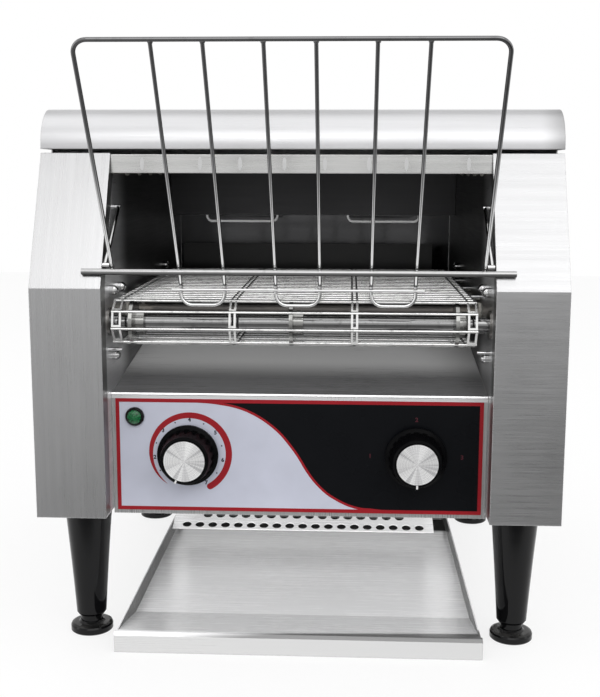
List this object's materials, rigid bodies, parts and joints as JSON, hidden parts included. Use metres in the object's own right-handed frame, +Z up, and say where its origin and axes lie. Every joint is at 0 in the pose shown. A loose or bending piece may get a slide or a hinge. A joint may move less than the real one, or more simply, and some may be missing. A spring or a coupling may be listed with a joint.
{
  "type": "conveyor toaster",
  "caption": "Countertop conveyor toaster: wire feed rack, flat wire belt between heaters, sloped steel housing, knob panel, rear chute and pull-out toast tray on tapered feet.",
  "frame": {"origin": "centre of the bounding box in X and Y, on the surface the feet stand on", "axes": "+X to the right seen from the front, +Y from the front to the back, +Z up"},
  "size_m": [0.371, 0.4587, 0.425],
  "materials": {
    "housing_steel": "vertical brushed stainless sheet",
    "cover_steel": "fine brushed stainless sheet",
    "tray_steel": "bright rolled stainless sheet",
    "chrome_wire": "polished chromed wire",
    "shaft_steel": "turned steel",
    "chain_steel": "oiled dark steel",
    "overlay_print": "printed polycarbonate film",
    "black_plastic": "semi-gloss black moulding",
    "lamp_green": "translucent green lens",
    "cap_aluminium": "spun aluminium disc",
    "control_case": "dark moulded case",
    "bush_bronze": "sintered bronze",
    "heater_sheath": "heat-darkened metal sheath",
    "ceramic": "unglazed white ceramic",
    "motor_case": "grey painted steel",
    "screw_steel": "bright plated steel"
  },
  "bodies": {
    "casing": {"left_housing": "housing_steel", "right_housing": "housing_steel", "left_inner_wall": "housing_steel", "right_inner_wall": "housing_steel", "top_cover": "cover_steel", "hood": "housing_steel", "rear_baffle": "housing_steel", "guard_wires": "chrome_wire", "rear_panel": "housing_steel", "base_plate": "housing_steel", "lower_shelf": "housing_steel", "control_panel": "housing_steel", "panel_overlay": "overlay_print", "lamp_bezel": "black_plastic", "lamp_lens": "lamp_green", "speed_pot": "control_case", "selector_switch": "control_case", "legs": "black_plastic", "toast_chute": "housing_steel", "wire_belt": "chrome_wire", "shaft_bushes": "bush_bronze", "belt_support_rods": "chrome_wire", "belt_guide_pins": "chrome_wire", "lower_reflector": "housing_steel", "upper_heaters": "heater_sheath", "lower_heaters": "heater_sheath", "heater_insulators": "ceramic", "gear_motor": "motor_case", "drive_chain": "chain_steel", "fan_frame": "black_plastic", "terminal_block": "ceramic", "limit_thermostat": "motor_case", "cable_gland": "black_plastic", "wall_nuts": "screw_steel", "casing_screws": "screw_steel"},
    "belt_drive": {"drive_shaft": "shaft_steel", "drive_sprockets": "shaft_steel", "shaft_sprocket": "chain_steel"},
    "front_roller": {"front_shaft": "shaft_steel", "front_sprockets": "shaft_steel"},
    "motor_output": {"motor_shaft": "shaft_steel", "motor_sprocket": "chain_steel"},
    "fan": {"fan_rotor": "black_plastic"},
    "speed_control": {"speed_spindle": "shaft_steel", "speed_knob": "black_plastic", "speed_knob_cap": "cap_aluminium"},
    "selector_control": {"selector_spindle": "shaft_steel", "selector_knob": "black_plastic", "selector_knob_cap": "cap_aluminium"},
    "tray": {"toast_tray": "tray_steel"},
    "feed_rack": {"rack_frame": "chrome_wire", "rack_cross_bar": "chrome_wire", "rack_guides": "chrome_wire", "rack_tip_rod": "chrome_wire", "rack_hooks": "chrome_wire"},
    "foot_fl": {"foot_front_left": "black_plastic"},
    "foot_fr": {"foot_front_right": "black_plastic"},
    "foot_rl": {"foot_rear_left": "black_plastic"},
    "foot_rr": {"foot_rear_right": "black_plastic"}
  },
  "joints": [
    {"name": "belt_drive_spin", "type": "hinge", "parent": "casing", "child": "belt_drive", "pos_m": [0, 0.13836, 0.24342], "axis": [1, 0, 0], "continuous": true, "deforming": ["wire_belt", "drive_chain"]},
    {"name": "front_roller_spin", "type": "hinge", "parent": "casing", "child": "front_roller", "pos_m": [0, -0.11364, 0.24342], "axis": [1, 0, 0], "continuous": true},
    {"name": "motor_spin", "type": "hinge", "parent": "casing", "child": "motor_output", "pos_m": [0.1344, 0.11008, 0.15638], "axis": [1, 0, 0], "continuous": true},
    {"name": "fan_spin", "type": "hinge", "parent": "casing", "child": "fan", "pos_m": [0.02, -0.01964, 0.1075], "axis": [0, 0, 1], "continuous": true},
    {"name": "speed_turn", "type": "hinge", "parent": "casing", "child": "speed_control", "pos_m": [-0.079, -0.11364, 0.148], "axis": [0, 1, 0], "range_deg": [0, 300]},
    {"name": "selector_turn", "type": "hinge", "parent": "casing", "child": "selector_control", "pos_m": [0.084, -0.11364, 0.148], "axis": [0, 1, 0], "range_deg": [0, 270]},
    {"name": "tray_slide", "type": "slide", "parent": "casing", "child": "tray", "axis": [0, -1, 0], "range_m": [0, 0.28]},
    {"name": "rack_swing", "type": "hinge", "parent": "casing", "child": "feed_rack", "pos_m": [0, -0.08864, 0.3235], "axis": [-1, 0, 0], "range_deg": [0, 35]},
    {"name": "foot_fl_screw", "type": "slide", "parent": "casing", "child": "foot_fl", "axis": [0, 0, 1], "range_m": [-0.01, 0]},
    {"name": "foot_fr_screw", "type": "slide", "parent": "casing", "child": "foot_fr", "axis": [0, 0, 1], "range_m": [-0.01, 0]},
    {"name": "foot_rl_screw", "type": "slide", "parent": "casing", "child": "foot_rl", "axis": [0, 0, 1], "range_m": [-0.01, 0]},
    {"name": "foot_rr_screw", "type": "slide", "parent": "casing", "child": "foot_rr", "axis": [0, 0, 1], "range_m": [-0.01, 0]}
  ],
  "couplings": [
    {"joint": "front_roller_spin", "follows": "belt_drive_spin", "ratio": 1},
    {"joint": "motor_spin", "follows": "belt_drive_spin", "ratio": 2}
  ]
}
